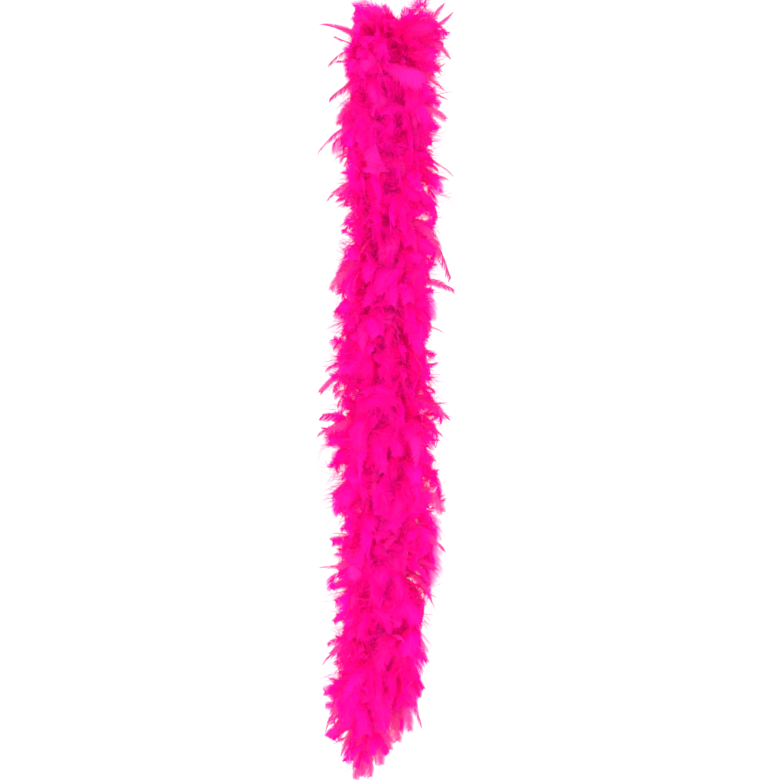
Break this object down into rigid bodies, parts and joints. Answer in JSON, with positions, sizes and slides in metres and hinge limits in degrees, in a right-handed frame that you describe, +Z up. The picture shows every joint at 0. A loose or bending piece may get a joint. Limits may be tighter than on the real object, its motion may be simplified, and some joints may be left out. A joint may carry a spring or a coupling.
{
  "type": "feather boa",
  "caption": "Long fluffy strip of bright pink feathers bound on a twisted core cord, hung folded in half with its two loose ends side by side.",
  "frame": {"origin": "the hanging point: the underside of the fold, where a hook or a finger bears, midway between the two legs", "axes": "+Z up, along the hanging length; +X from the left leg to the right leg as seen from the front; +Y from front to back"},
  "size_m": [0.16, 0.12, 0.964],
  "materials": {
    "feathers": "satin",
    "core_cord": "matte",
    "binding_thread": "satin"
  },
  "bodies": {
    "fold": {"core_fold": "core_cord", "binding_fold": "binding_thread", "feathers_fold_left": "feathers", "feathers_fold_right": "feathers"},
    "left_1": {"core_left_1": "core_cord", "binding_left_1": "binding_thread", "feathers_left_1": "feathers"},
    "left_2": {"core_left_2": "core_cord", "binding_left_2": "binding_thread", "feathers_left_2": "feathers"},
    "left_3": {"core_left_3": "core_cord", "binding_left_3": "binding_thread", "feathers_left_3": "feathers"},
    "left_4": {"core_left_4": "core_cord", "binding_left_4": "binding_thread", "feathers_left_4": "feathers"},
    "left_5": {"core_left_5": "core_cord", "binding_left_5": "binding_thread", "feathers_left_5": "feathers"},
    "left_6": {"core_left_6": "core_cord", "binding_left_6": "binding_thread", "feathers_left_6": "feathers"},
    "left_7": {"core_left_7": "core_cord", "binding_left_7": "binding_thread", "feathers_left_7": "feathers"},
    "left_8": {"core_left_8": "core_cord", "binding_left_8": "binding_thread", "feathers_left_8": "feathers", "whipping_left": "binding_thread", "knot_left": "core_cord"},
    "right_1": {"core_right_1": "core_cord", "binding_right_1": "binding_thread", "feathers_right_1": "feathers"},
    "right_2": {"core_right_2": "core_cord", "binding_right_2": "binding_thread", "feathers_right_2": "feathers"},
    "right_3": {"core_right_3": "core_cord", "binding_right_3": "binding_thread", "feathers_right_3": "feathers"},
    "right_4": {"core_right_4": "core_cord", "binding_right_4": "binding_thread", "feathers_right_4": "feathers"},
    "right_5": {"core_right_5": "core_cord", "binding_right_5": "binding_thread", "feathers_right_5": "feathers"},
    "right_6": {"core_right_6": "core_cord", "binding_right_6": "binding_thread", "feathers_right_6": "feathers"},
    "right_7": {"core_right_7": "core_cord", "binding_right_7": "binding_thread", "feathers_right_7": "feathers"},
    "right_8": {"core_right_8": "core_cord", "binding_right_8": "binding_thread", "feathers_right_8": "feathers", "whipping_right": "binding_thread", "knot_right": "core_cord"}
  },
  "joints": [
    {"name": "left_fold_opening", "type": "hinge", "parent": "fold", "child": "left_1", "pos_m": [-0.02, 0, -0.024], "axis": [0, 1, 0], "range_deg": [0, 90]},
    {"name": "left_swing_2", "type": "hinge", "parent": "left_1", "child": "left_2", "pos_m": [-0.02, 0, -0.127], "axis": [1, 0, 0], "range_deg": [-30, 30]},
    {"name": "left_bend_3", "type": "hinge", "parent": "left_2", "child": "left_3", "pos_m": [-0.02, 0, -0.23], "axis": [0, 1, 0], "range_deg": [0, 35]},
    {"name": "left_swing_4", "type": "hinge", "parent": "left_3", "child": "left_4", "pos_m": [-0.02, 0, -0.333], "axis": [1, 0, 0], "range_deg": [-30, 30]},
    {"name": "left_bend_5", "type": "hinge", "parent": "left_4", "child": "left_5", "pos_m": [-0.02, 0, -0.436], "axis": [0, 1, 0], "range_deg": [0, 35]},
    {"name": "left_swing_6", "type": "hinge", "parent": "left_5", "child": "left_6", "pos_m": [-0.02, 0, -0.539], "axis": [1, 0, 0], "range_deg": [-30, 30]},
    {"name": "left_bend_7", "type": "hinge", "parent": "left_6", "child": "left_7", "pos_m": [-0.02, 0, -0.642], "axis": [0, 1, 0], "range_deg": [0, 35]},
    {"name": "left_swing_8", "type": "hinge", "parent": "left_7", "child": "left_8", "pos_m": [-0.02, 0, -0.745], "axis": [1, 0, 0], "range_deg": [-30, 30]},
    {"name": "right_fold_opening", "type": "hinge", "parent": "fold", "child": "right_1", "pos_m": [0.02, 0, -0.024], "axis": [0, -1, 0], "range_deg": [0, 90]},
    {"name": "right_swing_2", "type": "hinge", "parent": "right_1", "child": "right_2", "pos_m": [0.02, 0, -0.127], "axis": [1, 0, 0], "range_deg": [-30, 30]},
    {"name": "right_bend_3", "type": "hinge", "parent": "right_2", "child": "right_3", "pos_m": [0.02, 0, -0.23], "axis": [0, -1, 0], "range_deg": [0, 35]},
    {"name": "right_swing_4", "type": "hinge", "parent": "right_3", "child": "right_4", "pos_m": [0.02, 0, -0.333], "axis": [1, 0, 0], "range_deg": [-30, 30]},
    {"name": "right_bend_5", "type": "hinge", "parent": "right_4", "child": "right_5", "pos_m": [0.02, 0, -0.436], "axis": [0, -1, 0], "range_deg": [0, 35]},
    {"name": "right_swing_6", "type": "hinge", "parent": "right_5", "child": "right_6", "pos_m": [0.02, 0, -0.539], "axis": [1, 0, 0], "range_deg": [-30, 30]},
    {"name": "right_bend_7", "type": "hinge", "parent": "right_6", "child": "right_7", "pos_m": [0.02, 0, -0.642], "axis": [0, -1, 0], "range_deg": [0, 35]},
    {"name": "right_swing_8", "type": "hinge", "parent": "right_7", "child": "right_8", "pos_m": [0.02, 0, -0.745], "axis": [1, 0, 0], "range_deg": [-30, 30]}
  ]
}
